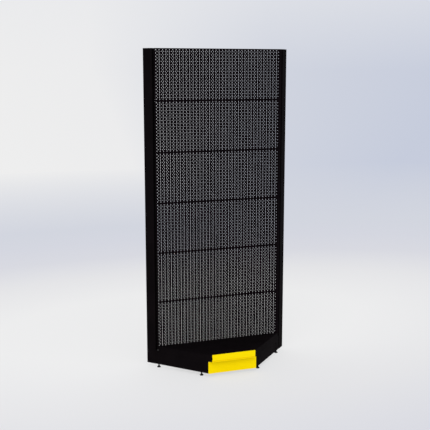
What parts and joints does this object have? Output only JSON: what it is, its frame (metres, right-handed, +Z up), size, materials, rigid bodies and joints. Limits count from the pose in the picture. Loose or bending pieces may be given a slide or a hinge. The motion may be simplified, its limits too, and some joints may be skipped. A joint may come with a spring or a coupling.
{
  "type": "gondola shelving unit",
  "caption": "Inner corner bay of gondola shelving: tall perforated back wall between slotted uprights turned by 45 degrees, low base deck narrowing to a front with price rail and plinth.",
  "frame": {"origin": "on the floor, in the middle of the bounding box", "axes": "+X to the right seen from the front, +Y towards the back, +Z up; the front with the plinth faces -Y"},
  "size_m": [1.1954, 0.4508, 2.55],
  "materials": {
    "black_coat": "satin powder coat, fine texture",
    "wall_coat": "satin powder coat, fine texture",
    "black_plastic": "moulded, matt",
    "yellow_coat": "satin powder coat",
    "yellow_plastic": "extruded, semi-gloss",
    "zinc": "zinc plated",
    "black_zinc": "zinc plated, black passivated",
    "spring_steel": "bare spring steel"
  },
  "bodies": {
    "root": {"upright_left": "black_coat", "upright_cap_left": "black_plastic", "corner_adapter_left": "black_coat", "adapter_screw_left_lower": "black_zinc", "adapter_screw_left_upper": "black_zinc", "upright_right": "black_coat", "upright_cap_right": "black_plastic", "corner_adapter_right": "black_coat", "adapter_screw_right_lower": "black_zinc", "adapter_screw_right_upper": "black_zinc", "back_panel_1": "wall_coat", "back_panel_2": "wall_coat", "back_panel_3": "wall_coat", "back_panel_4": "wall_coat", "back_panel_5": "wall_coat", "back_panel_6": "wall_coat", "base_bracket_left": "black_coat", "bracket_bolt_left_lower": "zinc", "bracket_bolt_left_upper": "zinc", "front_rail_bolt_left_lower": "black_coat", "front_rail_bolt_left_upper": "black_coat", "rear_rail_bolt_left_lower": "black_coat", "rear_rail_bolt_left_upper": "black_coat", "base_bracket_right": "black_coat", "bracket_bolt_right_lower": "zinc", "bracket_bolt_right_upper": "zinc", "front_rail_bolt_right_lower": "black_coat", "front_rail_bolt_right_upper": "black_coat", "rear_rail_bolt_right_lower": "black_coat", "rear_rail_bolt_right_upper": "black_coat", "front_cross_rail": "black_coat", "rear_cross_rail": "black_coat"},
    "deck": {"base_deck": "black_coat", "deck_stiffener_rear": "black_coat", "deck_stiffener_front": "black_coat", "price_rail": "yellow_plastic"},
    "kick_plate": {"plinth": "yellow_coat", "plinth_clip_left": "spring_steel", "plinth_clip_right": "spring_steel"},
    "foot_front_left": {"foot_pad_front_left": "black_plastic", "foot_stem_front_left": "black_zinc", "foot_jam_nut_front_left": "black_zinc"},
    "foot_rear_left": {"foot_pad_rear_left": "black_plastic", "foot_stem_rear_left": "black_zinc", "foot_jam_nut_rear_left": "black_zinc"},
    "foot_front_right": {"foot_pad_front_right": "black_plastic", "foot_stem_front_right": "black_zinc", "foot_jam_nut_front_right": "black_zinc"},
    "foot_rear_right": {"foot_pad_rear_right": "black_plastic", "foot_stem_rear_right": "black_zinc", "foot_jam_nut_rear_right": "black_zinc"}
  },
  "joints": [
    {"name": "deck_lift", "type": "slide", "parent": "root", "child": "deck", "axis": [0, 0, 1], "range_m": [0, 0.1]},
    {"name": "plinth_pull", "type": "slide", "parent": "root", "child": "kick_plate", "axis": [0, -1, 0], "range_m": [0, 0.06]},
    {"name": "foot_front_left_screw", "type": "slide", "parent": "root", "child": "foot_front_left", "axis": [0, 0, -1], "range_m": [0, 0.015]},
    {"name": "foot_rear_left_screw", "type": "slide", "parent": "root", "child": "foot_rear_left", "axis": [0, 0, -1], "range_m": [0, 0.015]},
    {"name": "foot_front_right_screw", "type": "slide", "parent": "root", "child": "foot_front_right", "axis": [0, 0, -1], "range_m": [0, 0.015]},
    {"name": "foot_rear_right_screw", "type": "slide", "parent": "root", "child": "foot_rear_right", "axis": [0, 0, -1], "range_m": [0, 0.015]}
  ]
}
